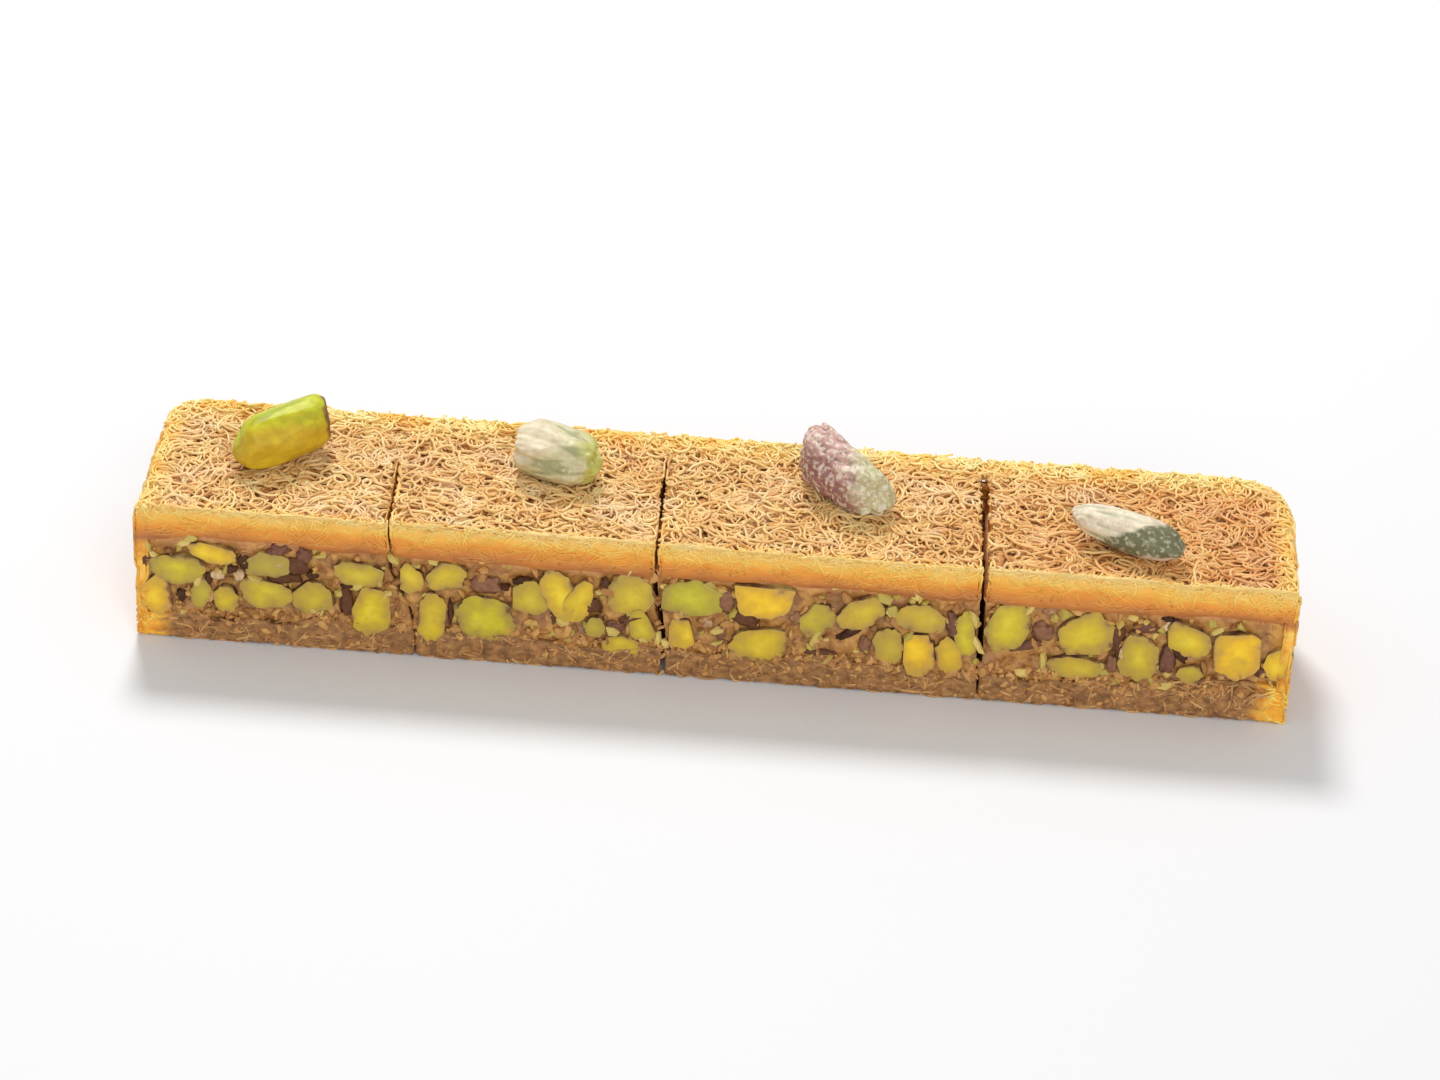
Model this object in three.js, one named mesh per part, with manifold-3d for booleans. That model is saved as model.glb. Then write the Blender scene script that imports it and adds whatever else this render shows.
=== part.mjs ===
// Kunafa: one baked strip of shredded-dough pastry filled with pistachios, cut into four
// slices that stay in line, with one whole kernel lying on each slice.
// Millimetres. X runs along the strip, -Y is the knife-cut front that shows the layers,
// +Y is the browned back that lay against the tin, and Z is up from the flat base.

import * as THREE from "three";
import { mergeVertices } from "three/addons/utils/BufferGeometryUtils.js";
import ManifoldModule from "manifold-3d";

// The whole strip
const LENGTH = 165;
const DEPTH = 31;
const HEIGHT = 22.5;
const LEFT_END = -LENGTH / 2;
const RIGHT_END = LENGTH / 2;
const FRONT = -DEPTH / 2;
const BACK = DEPTH / 2;
const LEFT_CORNER_RADIUS = 5.5;
const RIGHT_CORNER_RADIUS = 8.5;
const CRUST_EDGE_RADIUS = 2;
const FOOT_EDGE_RADIUS = 0.8;

// The layers
const BASE_THICKNESS = 4.4;
const BASE_SWELL = { from: 42, to: 78, height: 1.6 };
const CRUST_THICKNESS = 5.3;
const TIN_WALL = 2;
const FILLING_DIMPLE = { depth: 0.7, across: 8.2, up: 12 };
const SEAM = 0.3;
const WAVE = { base: 0.35, crustUnderside: 0.3, crustTop: 0.18 };

// The knife cuts between the slices: x at the crust's back and front edge and at the foot,
// and how far the slices stand apart at the crust and at the foot
const CUTS = [
  { back: -47.1, front: -46.2, foot: -42.2, crustGap: 0.35, footGap: 0.5 },
  { back: -8.7, front: -8.3, foot: -6.6, crustGap: 0.5, footGap: 1.1 },
  { back: 37.3, front: 38.1, foot: 38.4, crustGap: 0.85, footGap: 0.6 },
];
const CUT_BEND = { low: 4, high: 16.5 };

// The kernels on top: where each lies, its size, how it is turned and raised at one end,
// its cross-section from 1 (a lozenge) to 2 (round), how much thicker one end is, its lumps
const KERNELS = [
  { x: -63.2, y: -0.1, length: 15.6, width: 8.4, height: 8.2, yaw: 42, pitch: -7,
    section: 1.55, taper: 0.06, lump: 0.02, color: 0xb9b233 },
  { x: -23.9, y: 1.3, length: 13, width: 8.8, height: 7.4, yaw: -19, pitch: 3,
    section: 1.85, taper: -0.14, lump: 0.05, color: 0xc9c09a },
  { x: 17.4, y: 1.1, length: 15.8, width: 8.4, height: 8.4, yaw: -43, pitch: 9,
    section: 1.9, taper: -0.12, lump: 0.06, color: 0xc49a8c },
  { x: 57.7, y: -7, length: 17.4, width: 6.6, height: 6, yaw: -25, pitch: 2,
    section: 1.8, taper: 0.1, lump: 0.04, color: 0x9c9272 },
];
const KERNEL_BELLY = 0.8;
const KERNEL_REST_GAP = 0.3;
const KERNEL_TIP = { power: 2.4, blunt: 0.55 };

// How finely each solid is divided
const COLUMNS = { dough: 10, filling: 16 };
const ROWS = { base: 1, filling: 4, dough: 2 };
const STRAIGHT_STEPS = 4;
const CORNER_STEPS = 4;
const ROUND_STEPS = 3;
const KERNEL_STEPS = { around: 20, along: 12 };

const DOUGH_COLOR = 0xe3b06a;
const FILLING_COLOR = 0x9a8a3c;
const BASE_COLOR = 0x946a47;

const { lerp, smoothstep, degToRad } = THREE.MathUtils;
const wasm = await ManifoldModule();
wasm.setup();

// Heights of the layer surfaces, each gently uneven
function baseTop(x, y) {
  const ripple = Math.sin(x / 9) + 0.5 * Math.sin(x / 4.1 + y / 5);
  const swell = BASE_SWELL.height * smoothstep(x, BASE_SWELL.from, BASE_SWELL.to);
  return BASE_THICKNESS + WAVE.base * ripple + swell;
}

function fillingTop(x, y) {
  const ripple = Math.sin(x / 11 + 1) + 0.5 * Math.sin(x / 3.7 + y / 4);
  return HEIGHT - CRUST_THICKNESS + WAVE.crustUnderside * ripple;
}

function crustTop(x, y) {
  return HEIGHT + WAVE.crustTop * Math.sin(x / 13) * Math.cos(y / 9);
}

// How far the filling stands back from the knife-cut front between its chopped nuts
function fillingDimple(x, z) {
  const across = Math.sin((2 * Math.PI * x) / FILLING_DIMPLE.across + Math.sin(x / 5));
  const up = Math.sin((2 * Math.PI * z) / FILLING_DIMPLE.up);
  return FILLING_DIMPLE.depth * (0.5 + 0.5 * across * up);
}

// The middle of a cut at one depth and height, and half the gap there
function cutMiddle(cut, y, z) {
  const atCrust = lerp(cut.front, cut.back, (y - FRONT) / DEPTH);
  const lean = cut.foot - cut.front;
  return atCrust + lean * (1 - smoothstep(z, CUT_BEND.low, CUT_BEND.high));
}

function cutHalfGap(cut, z) {
  return lerp(cut.footGap, cut.crustGap, z / HEIGHT) / 2;
}

// A slice runs between two sides, each a cut or a tin end with a rounded back corner
const tinEnd = (x, inward, radius) => ({ front: x, inward, radius });
const SIDES = [
  tinEnd(LEFT_END, 1, LEFT_CORNER_RADIUS),
  ...CUTS,
  tinEnd(RIGHT_END, -1, RIGHT_CORNER_RADIUS),
];

// Depth of one row across a slice, and the angle it has reached round the tin corner
function depthRow(share, radius, inset, overrun) {
  const front = FRONT - overrun;
  const back = BACK - inset;
  if (radius === 0) {
    return { y: lerp(front, back, share), angle: 0 };
  }
  const straightShare = STRAIGHT_STEPS / (STRAIGHT_STEPS + CORNER_STEPS);
  if (share <= straightShare) {
    return { y: lerp(front, back - radius, share / straightShare), angle: 0 };
  }
  const angle = ((share - straightShare) / (1 - straightShare)) * (Math.PI / 2);
  return { y: back - radius + radius * Math.sin(angle), angle };
}

function sideX(side, row, z, radius, inset, overrun, outward) {
  if (side.inward) {
    return side.front + side.inward * (inset + radius * (1 - Math.cos(row.angle)));
  }
  return cutMiddle(side, row.y, z) - outward * (cutHalfGap(side, z) - overrun);
}

// Rows of a solid from its foot to its crown. Each has its share of the straight wall, its
// lift above that, and how far the round of the edge pulls it in from the tin side.
function wallRows(count, footRadius, crownRadius) {
  const rows = [];
  const turn = (step) => (step / ROUND_STEPS) * (Math.PI / 2);
  for (let step = 0; footRadius > 0 && step < ROUND_STEPS; step += 1) {
    const lift = -footRadius * Math.cos(turn(step));
    rows.push({ share: 0, lift, pull: footRadius * (1 - Math.sin(turn(step))) });
  }
  for (let step = 0; step <= count; step += 1) {
    rows.push({ share: step / count, lift: 0, pull: 0 });
  }
  for (let step = 1; crownRadius > 0 && step <= ROUND_STEPS; step += 1) {
    const lift = crownRadius * Math.sin(turn(step));
    rows.push({ share: 1, lift, pull: crownRadius * (1 - Math.cos(turn(step))) });
  }
  return rows;
}

// A box of faces whose corners are moved by place(point), which gets shares from 0 to 1
function mappedBox(segments, place) {
  const box = new THREE.BoxGeometry(1, 1, 1, ...segments);
  const position = box.getAttribute("position");
  const point = new THREE.Vector3();
  for (let i = 0; i < position.count; i += 1) {
    point.fromBufferAttribute(position, i).addScalar(0.5);
    place(point);
    position.setXYZ(i, point.x, point.y, point.z);
  }
  return weld(box);
}

function weld(geometry) {
  geometry.deleteAttribute("normal");
  geometry.deleteAttribute("uv");
  const closed = mergeVertices(geometry, 1e-4);
  closed.computeVertexNormals();
  return closed;
}

// One layer of one slice between a lower and an upper surface
function layerSolid(left, right, layer) {
  const { lower, upper, rows, columns = COLUMNS.dough } = layer;
  const { footRadius = 0, crownRadius = 0, inset = 0, overrun = 0, dimple = () => 0 } = layer;
  const tinRadius = left.radius ?? right.radius ?? 0;
  const depthSteps = STRAIGHT_STEPS + (tinRadius ? CORNER_STEPS : 1);
  const wall = wallRows(rows, footRadius, crownRadius);
  return mappedBox([columns, depthSteps, wall.length - 1], (point) => {
    const level = wall[Math.round(point.z * (wall.length - 1))];
    const pulledIn = inset + level.pull;
    const radius = tinRadius ? tinRadius - pulledIn : 0;
    const row = depthRow(point.y, radius, pulledIn, overrun);
    const heightAt = (x) => lerp(
      lower(x, row.y) + footRadius, upper(x, row.y) - crownRadius, level.share) + level.lift;
    const xLeft = sideX(left, row, heightAt(left.front), radius, pulledIn, overrun, -1);
    const xRight = sideX(right, row, heightAt(right.front), radius, pulledIn, overrun, 1);
    const x = lerp(xLeft, xRight, point.x);
    const setBack = point.y === 0 ? dimple(x, heightAt(x)) : 0;
    point.set(x, row.y + setBack, heightAt(x));
  });
}

function toSolid(geometry) {
  const vertProperties = new Float32Array(geometry.getAttribute("position").array);
  const triVerts = new Uint32Array(geometry.getIndex().array);
  return new wasm.Manifold(new wasm.Mesh({ numProp: 3, vertProperties, triVerts }));
}

function toGeometry(solid) {
  const mesh = solid.getMesh();
  const geometry = new THREE.BufferGeometry();
  geometry.setAttribute("position", new THREE.BufferAttribute(mesh.vertProperties, 3));
  geometry.setIndex(new THREE.BufferAttribute(mesh.triVerts, 1));
  geometry.computeVertexNormals();
  return geometry;
}

// The brown base runs through the full footprint
function baseGeometry(left, right) {
  return layerSolid(left, right, {
    lower: () => 0, upper: baseTop, rows: ROWS.base, footRadius: FOOT_EDGE_RADIUS,
  });
}

// The pistachio filling shows at the front and at the cuts and stops short of the tin sides
function fillingGeometry(left, right) {
  return layerSolid(left, right, {
    lower: (x, y) => baseTop(x, y) + SEAM, upper: fillingTop, rows: ROWS.filling,
    columns: COLUMNS.filling, inset: TIN_WALL + SEAM, dimple: fillingDimple,
  });
}

// The top dough lies over the filling and turns down over it along the tin sides
function doughGeometry(left, right) {
  const block = layerSolid(left, right, {
    lower: (x, y) => baseTop(x, y) + SEAM, upper: crustTop, rows: ROWS.dough,
    crownRadius: CRUST_EDGE_RADIUS,
  });
  const hollow = layerSolid(left, right, {
    lower: () => 0, upper: (x, y) => fillingTop(x, y) + SEAM, rows: ROWS.dough,
    inset: TIN_WALL, overrun: 1,
  });
  return toGeometry(toSolid(block).subtract(toSolid(hollow)));
}

// A kernel is a long rounded body with a flattened belly, one end thicker, faintly lumpy
function kernelGeometry({ length, width, height, section, taper, lump }) {
  const ball = weld(new THREE.SphereGeometry(1, KERNEL_STEPS.around, KERNEL_STEPS.along));
  const position = ball.getAttribute("position");
  const point = new THREE.Vector3();
  for (let i = 0; i < position.count; i += 1) {
    point.fromBufferAttribute(position, i);
    const along = THREE.MathUtils.clamp(point.y, -1, 1);
    const around = Math.atan2(point.x, point.z);
    const swell = (1 - Math.abs(along) ** KERNEL_TIP.power) ** KERNEL_TIP.blunt;
    const flank = Math.abs(Math.cos(around)) ** section + Math.abs(Math.sin(around)) ** section;
    const bumps = 1 + lump * Math.sin(4 * around + 5 * along) * Math.cos(7 * along);
    const girth = swell * (1 + taper * along) * bumps * flank ** (-1 / section);
    const z = (girth * Math.sin(around) * height) / 2;
    const belly = (-KERNEL_BELLY * height) / 2;
    const y = (girth * Math.cos(around) * width) / 2;
    position.setXYZ(i, (along * length) / 2, y, Math.max(z, belly));
  }
  ball.computeVertexNormals();
  return ball;
}

function matte(color, roughness) {
  return new THREE.MeshStandardMaterial({ color, roughness, metalness: 0 });
}

// Turns a kernel and lowers it until its belly lies just clear of the crust
function layKernel(mesh, kernel) {
  mesh.rotation.set(0, degToRad(kernel.pitch), degToRad(kernel.yaw), "ZYX");
  mesh.position.set(kernel.x, kernel.y, 0);
  const lowest = new THREE.Box3().setFromObject(mesh, true).min.z;
  mesh.position.z = crustTop(kernel.x, kernel.y) + KERNEL_REST_GAP - lowest;
}

const kunafa = new THREE.Group();

function addMesh(name, geometry, material) {
  const mesh = new THREE.Mesh(geometry, material);
  mesh.name = name;
  kunafa.add(mesh);
  return mesh;
}

KERNELS.forEach((kernel, index) => {
  const slice = `slice_${index + 1}`;
  const left = SIDES[index];
  const right = SIDES[index + 1];
  addMesh(`${slice}_base_dough`, baseGeometry(left, right), matte(BASE_COLOR, 0.85));
  addMesh(`${slice}_pistachio_filling`, fillingGeometry(left, right), matte(FILLING_COLOR, 0.55));
  addMesh(`${slice}_top_dough`, doughGeometry(left, right), matte(DOUGH_COLOR, 0.6));
  const topping = addMesh(`topping_pistachio_${index + 1}`, kernelGeometry(kernel),
    matte(kernel.color, 0.5));
  layKernel(topping, kernel);
});

export default kunafa;
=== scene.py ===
"""Kunafa: a baked strip of shredded dough over a chopped pistachio filling, cut into four slices.

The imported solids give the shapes. Each slice's layers are remeshed from them, the crust gets a
mat of loose strands, the knife-cut front gets its chopped nuts, and the kernels get their skins.
"""

import math
import random
from dataclasses import dataclass

import bmesh
import bpy
import numpy as np
from mathutils import Matrix, Vector, noise
from mathutils.bvhtree import BVHTree


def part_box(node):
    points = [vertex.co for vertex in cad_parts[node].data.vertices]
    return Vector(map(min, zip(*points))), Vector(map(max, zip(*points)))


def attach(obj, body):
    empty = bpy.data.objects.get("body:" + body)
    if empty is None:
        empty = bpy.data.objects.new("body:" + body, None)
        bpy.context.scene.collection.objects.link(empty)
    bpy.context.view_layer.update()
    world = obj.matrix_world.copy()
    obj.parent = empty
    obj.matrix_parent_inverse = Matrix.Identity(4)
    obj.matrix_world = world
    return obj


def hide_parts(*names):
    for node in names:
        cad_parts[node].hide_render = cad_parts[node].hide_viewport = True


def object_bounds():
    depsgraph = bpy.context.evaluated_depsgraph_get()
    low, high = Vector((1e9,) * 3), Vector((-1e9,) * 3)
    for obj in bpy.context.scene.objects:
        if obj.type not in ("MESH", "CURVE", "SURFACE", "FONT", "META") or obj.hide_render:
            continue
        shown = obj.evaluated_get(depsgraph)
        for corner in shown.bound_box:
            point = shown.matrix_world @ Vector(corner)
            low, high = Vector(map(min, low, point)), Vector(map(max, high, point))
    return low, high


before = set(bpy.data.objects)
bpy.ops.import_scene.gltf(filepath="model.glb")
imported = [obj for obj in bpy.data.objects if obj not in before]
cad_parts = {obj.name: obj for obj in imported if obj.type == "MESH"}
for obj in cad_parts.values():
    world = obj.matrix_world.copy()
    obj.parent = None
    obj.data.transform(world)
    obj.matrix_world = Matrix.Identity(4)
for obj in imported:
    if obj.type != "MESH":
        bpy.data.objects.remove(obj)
CAD_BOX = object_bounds()
SUMMIT = CAD_BOX[1][2]

MM = 0.001
SLICES = (1, 2, 3, 4)

# The strip's outer faces, read from the frame
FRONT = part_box("slice_2_top_dough")[0].y
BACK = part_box("slice_2_top_dough")[1].y
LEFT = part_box("slice_1_top_dough")[0].x
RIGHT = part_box("slice_4_top_dough")[1].x
CRUST_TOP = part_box("slice_2_top_dough")[1].z
CRUST_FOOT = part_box("slice_2_pistachio_filling")[1].z
BASE_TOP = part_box("slice_2_base_dough")[1].z


# ---------------------------------------------------------------- meshes

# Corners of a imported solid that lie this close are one
WELD = 0.002 * MM

# Size of a remeshed layer's faces, about a strand's width
VOXEL = 0.42 * MM


def srgb(red, green, blue):
    """A colour given as 0 to 255 numbers, as the linear numbers that shaders use."""
    def linear(channel):
        share = channel / 255
        return share / 12.92 if share <= 0.04045 else ((share + 0.055) / 1.055) ** 2.4

    return (linear(red), linear(green), linear(blue), 1.0)


def smoothstep(low, high, value):
    """A value from low to high as a share from 0 to 1, with soft ends."""
    share = min(max((value - low) / (high - low), 0.0), 1.0)
    return share * share * (3 - 2 * share)


def grain(place, size, seed):
    """Smooth noise from -1 to 1 whose lumps are about size across."""
    return noise.noise(Vector(place) / size + Vector((seed, -seed, 0.5 * seed)))


def relief(place, layers):
    """How far a rough surface stands out at a place, from layers of (height, size, seed)."""
    return sum(height * grain(place, size, seed) for height, size, seed in layers)


def new_piece(name, mesh, *materials):
    """Turns a bmesh into an object of its own at the origin."""
    data = bpy.data.meshes.new(name)
    mesh.to_mesh(data)
    mesh.free()
    piece = bpy.data.objects.new(name, data)
    bpy.context.scene.collection.objects.link(piece)
    for material in materials:
        data.materials.append(material)
    return piece


def shade_smooth(piece):
    piece.data.polygons.foreach_set("use_smooth", [True] * len(piece.data.polygons))
    piece.data.update()


def bake_modifiers(piece):
    """Replaces a piece's mesh by what its modifiers make of it."""
    graph = bpy.context.evaluated_depsgraph_get()
    made = bpy.data.meshes.new_from_object(piece.evaluated_get(graph))
    piece.modifiers.clear()
    piece.data = made


def cad_copy(*nodes):
    """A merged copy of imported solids."""
    mesh = bmesh.new()
    for node in nodes:
        mesh.from_mesh(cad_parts[node].data)
    bmesh.ops.remove_doubles(mesh, verts=mesh.verts, dist=WELD)
    return mesh


def remeshed(node, name, *materials):
    """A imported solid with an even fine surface."""
    piece = new_piece(name, cad_copy(node), *materials)
    remesh = piece.modifiers.new("even surface", "REMESH")
    remesh.mode = "VOXEL"
    remesh.voxel_size = VOXEL
    bake_modifiers(piece)
    return piece


def move_vertices(piece, move):
    """Shifts each vertex by what move(place, normal) gives."""
    vertices = piece.data.vertices
    shifts = [move(vertex.co.copy(), vertex.normal.copy()) for vertex in vertices]
    for vertex, shift in zip(vertices, shifts):
        vertex.co += shift
    piece.data.update()


# ---------------------------------------------------------------- materials


class Shader:
    """A material's node tree, with short names for the nodes that these finishes use."""

    def __init__(self, name, roughness=0.5, specular=0.5):
        self.material = bpy.data.materials.new(name)
        self.material.use_nodes = True
        self.tree = self.material.node_tree
        self.surface = self.tree.nodes["Principled BSDF"]
        self.surface.inputs["Roughness"].default_value = roughness
        self.surface.inputs["Specular IOR Level"].default_value = specular
        self.place = self.node("ShaderNodeTexCoord").outputs["Object"]

    def node(self, kind, **settings):
        made = self.tree.nodes.new(kind)
        for name, value in settings.items():
            setattr(made, name, value)
        return made

    def join(self, source, target):
        self.tree.links.new(source, target)

    def noise(self, size, detail=3.0, rough=0.55, stretch=(1, 1, 1)):
        """Noise whose lumps are about size across, stretched along the object's axes."""
        mapping = self.node("ShaderNodeMapping")
        mapping.inputs["Scale"].default_value = [1 / size / s for s in stretch]
        texture = self.node("ShaderNodeTexNoise")
        texture.inputs["Scale"].default_value = 1.0
        texture.inputs["Detail"].default_value = detail
        texture.inputs["Roughness"].default_value = rough
        self.join(self.place, mapping.inputs["Vector"])
        self.join(mapping.outputs["Vector"], texture.inputs["Vector"])
        return texture.outputs["Fac"]

    def attribute(self, name):
        return self.node("ShaderNodeAttribute", attribute_name=name).outputs["Fac"]

    def axis(self, name):
        split = self.node("ShaderNodeSeparateXYZ")
        self.join(self.place, split.inputs["Vector"])
        return split.outputs[name]

    def ramp(self, value, *stops):
        """Colours along a value, each stop (position, colour)."""
        made = self.node("ShaderNodeValToRGB")
        self.join(value, made.inputs["Fac"])
        elements = made.color_ramp.elements
        while len(elements) < len(stops):
            elements.new(0.5)
        for element, (position, color) in zip(elements, stops):
            element.position = position
            element.color = color
        return made.outputs["Color"]

    def share(self, value, low, high):
        """A value from low to high as a share from 0 to 1."""
        made = self.node("ShaderNodeMapRange", clamp=True)
        made.inputs["From Min"].default_value = low
        made.inputs["From Max"].default_value = high
        self.join(value, made.inputs["Value"])
        return made.outputs["Result"]

    def mix(self, factor, first, second, blend="MIX"):
        made = self.node("ShaderNodeMix", data_type="RGBA", blend_type=blend)
        # Its inputs 6 and 7 are the two colours, past those that other data types use
        sockets = (made.inputs[0], made.inputs[6], made.inputs[7])
        for value, socket in zip((factor, first, second), sockets):
            if isinstance(value, bpy.types.NodeSocket):
                self.join(value, socket)
            else:
                socket.default_value = value
        return made.outputs[2]

    def part_of(self, share, value):
        """A share of a value, for where a pattern should show only faintly."""
        return self.mix(share, (0, 0, 0, 1), value)

    def color(self, source):
        self.join(source, self.surface.inputs["Base Color"])

    def bump(self, height, distance, strength=0.6):
        made = self.node("ShaderNodeBump")
        made.inputs["Distance"].default_value = distance
        made.inputs["Strength"].default_value = strength
        self.join(height, made.inputs["Height"])
        self.join(made.outputs["Normal"], self.surface.inputs["Normal"])

    def glow_through(self, weight, reach, radius=(1.0, 0.5, 0.25)):
        """Light that passes a little way through, as in syrup-soaked dough or a nut."""
        self.surface.inputs["Subsurface Weight"].default_value = weight
        self.surface.inputs["Subsurface Scale"].default_value = reach
        self.surface.inputs["Subsurface Radius"].default_value = radius


def golden_ramp(look, value):
    """The orange gold of dough that baked against the buttered tin."""
    return look.ramp(
        value, (0.0, srgb(212, 130, 42)), (0.5, srgb(248, 182, 70)), (1.0, srgb(255, 220, 114)),
    )


def toward_tin(look, value, middle):
    """Dough as it is in the middle of the mat, bright at the top's edges and golden down the sides; the
    brightness at the top's back edge is partly a painted highlight of the key light from behind.
    """
    # Pale gold at the top's edges: partly the dough's own colour and partly a painted highlight of the
    # key light from behind on the back edge.
    edge = look.ramp(
        value, (0.0, srgb(242, 184, 96)), (0.45, srgb(255, 214, 126)), (1.0, srgb(255, 236, 166)),
    )
    golden = golden_ramp(look, value)
    patches = look.part_of(0.8, look.share(look.noise(8 * MM, detail=2.0), 0.47, 0.62))
    rim = look.mix(patches, edge, golden)
    near_tin = look.mix(0.3, look.attribute("near_tin"), look.noise(3 * MM, detail=3.0))
    top = look.mix(look.share(near_tin, 0.16, 0.58), middle, rim)
    return look.mix(look.share(look.axis("Z"), CRUST_TOP - 1.2 * MM, CRUST_TOP - 3.4 * MM), top, golden)


def strand_material():
    """Baked strands: pale gold with bleached patches above, browner towards one end."""
    look = Shader("baked dough strands", roughness=0.5, specular=0.4)
    along = look.share(look.noise(1.8 * MM, detail=2.0), 0.25, 0.75)
    tone = look.mix(0.3, look.attribute("tone"), along)
    pale = look.ramp(
        tone, (0.0, srgb(184, 122, 62)), (0.45, srgb(236, 186, 116)), (1.0, srgb(255, 228, 162)),
    )
    bleached = look.share(look.noise(8 * MM, detail=3.0), 0.5, 0.68)
    mat = look.mix(look.part_of(0.4, bleached), pale, srgb(255, 230, 196))
    brown_end = look.share(look.axis("X"), 20 * MM, 80 * MM)
    toasted = look.mix(1.0, mat, srgb(246, 222, 204), "MULTIPLY")
    buttered = look.ramp(
        tone, (0.0, srgb(212, 146, 72)), (0.45, srgb(248, 194, 102)), (1.0, srgb(255, 216, 130)),
    )
    front_rim = look.share(look.axis("Y"), FRONT + 2.0 * MM, FRONT + 0.5 * MM)
    middle = look.mix(front_rim, look.mix(brown_end, mat, toasted), buttered)
    look.color(toward_tin(look, tone, middle))
    look.bump(look.noise(0.5 * MM), 0.05 * MM)
    look.glow_through(0.2, 0.6 * MM)
    return look.material


def crust_gap_material():
    """The dough seen between the strands of the mat, darkened as painted shade for the gaps among the
    strands.
    """
    look = Shader("dough between strands", roughness=0.7, specular=0.3)
    pits = look.noise(1.3 * MM)
    # Dark brown in the pits: painted shade of the gaps deep in the mat, over the dough's own brown.
    mat = look.ramp(pits, (0.36, srgb(94, 50, 22)), (0.64, srgb(200, 138, 74)))
    look.color(toward_tin(look, look.share(pits, 0.3, 1.0), mat))
    look.bump(look.noise(0.5 * MM), 0.15 * MM)
    return look.material


def cut_crust_material():
    """The knife-cut band of packed strands: pale gold rim, orange middle, red-brown foot, and
    orange gold where the walls at the strip's ends are cut."""
    look = Shader("cut edge of the crust", roughness=0.5, specular=0.4)
    height = look.share(look.axis("Z"), CRUST_FOOT - 0.4 * MM, CRUST_TOP)
    wander = look.share(look.noise(3.0 * MM, detail=4.0, stretch=(2.2, 1, 1)), 0.25, 0.75)
    level = look.mix(0.24, height, wander)
    body = look.ramp(
        level,
        (0.06, srgb(184, 124, 76)), (0.22, srgb(216, 146, 74)), (0.42, srgb(244, 172, 68)),
        (0.6, srgb(255, 208, 98)), (0.84, srgb(255, 222, 138)),
    )
    shade = look.mix(1.0, body, srgb(243, 224, 198), "MULTIPLY")
    band = look.mix(look.share(look.attribute("tone"), 0.1, 0.7), shade, body)
    walls = look.share(look.axis("Z"), CRUST_FOOT - 0.6 * MM, CRUST_FOOT - 1.8 * MM)
    look.color(look.mix(walls, band, golden_ramp(look, wander)))
    look.bump(look.noise(0.6 * MM, stretch=(2.0, 1, 1)), 0.1 * MM)
    look.glow_through(0.2, 0.7 * MM, (1.0, 0.7, 0.3))
    return look.material


def base_material():
    """Brown, syrup-soaked base dough with pale and dark grains, orange gold along the tin."""
    look = Shader("base dough", roughness=0.6, specular=0.35)
    grains = look.mix(
        0.35, look.noise(1.0 * MM, detail=4.0, stretch=(1.5, 1.5, 1)), look.attribute("tone"))
    body = look.ramp(
        grains,
        (0.22, srgb(122, 83, 48)), (0.44, srgb(182, 131, 78)), (0.7, srgb(224, 177, 116)),
    )
    crisp = look.ramp(
        grains,
        (0.22, srgb(234, 148, 42)), (0.44, srgb(255, 200, 68)), (0.7, srgb(255, 236, 132)),
    )
    patches = look.mix(0.3, look.attribute("near_tin"), look.noise(2.5 * MM))
    look.color(look.mix(look.share(patches, 0.24, 0.5), body, crisp))
    look.bump(look.noise(0.5 * MM), 0.2 * MM)
    look.glow_through(0.12, 0.6 * MM)
    return look.material


def syrup_crumb_material():
    """Brown syrupy crumbs that hold the nuts, darker and lighter in patches, and pink tan under the
    crust that is partly painted light.
    """
    look = Shader("syrup crumb", roughness=0.42, specular=0.5)
    body = look.ramp(
        look.noise(1.4 * MM, detail=4.0),
        (0.3, srgb(126, 80, 36)), (0.45, srgb(172, 118, 58)), (0.7, srgb(214, 162, 86)),
    )
    stain = look.share(look.noise(5 * MM, detail=2.0), 0.5, 0.7)
    stained = look.mix(look.part_of(0.4, stain), body, srgb(142, 98, 78))
    # Pink tan below the crust foot: partly the crumb's own colour and partly painted light that fills
    # the shadow under the crust's ledge.
    under_crust = look.share(look.axis("Z"), CRUST_FOOT - 2.4 * MM, CRUST_FOOT + 0.2 * MM)
    pink_tan_and_fill_light = look.mix(look.part_of(0.6, under_crust), stained, srgb(214, 148, 96))
    golden = golden_ramp(look, look.noise(1.4 * MM))
    look.color(look.mix(look.attribute("near_tin"), pink_tan_and_fill_light, golden))
    look.bump(look.noise(0.5 * MM), 0.2 * MM)
    look.glow_through(0.1, 0.6 * MM)
    return look.material


def crumb_material():
    """Small bits of nut and dough between the chopped kernels."""
    look = Shader("small crumbs", roughness=0.5, specular=0.45)
    look.color(look.ramp(
        look.attribute("tone"),
        (0.0, srgb(128, 82, 42)), (0.3, srgb(174, 120, 62)), (0.6, srgb(210, 158, 90)),
        (0.8, srgb(176, 156, 62)), (1.0, srgb(222, 194, 110)),
    ))
    look.bump(look.noise(0.4 * MM), 0.1 * MM)
    look.glow_through(0.15, 0.5 * MM)
    return look.material


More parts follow.
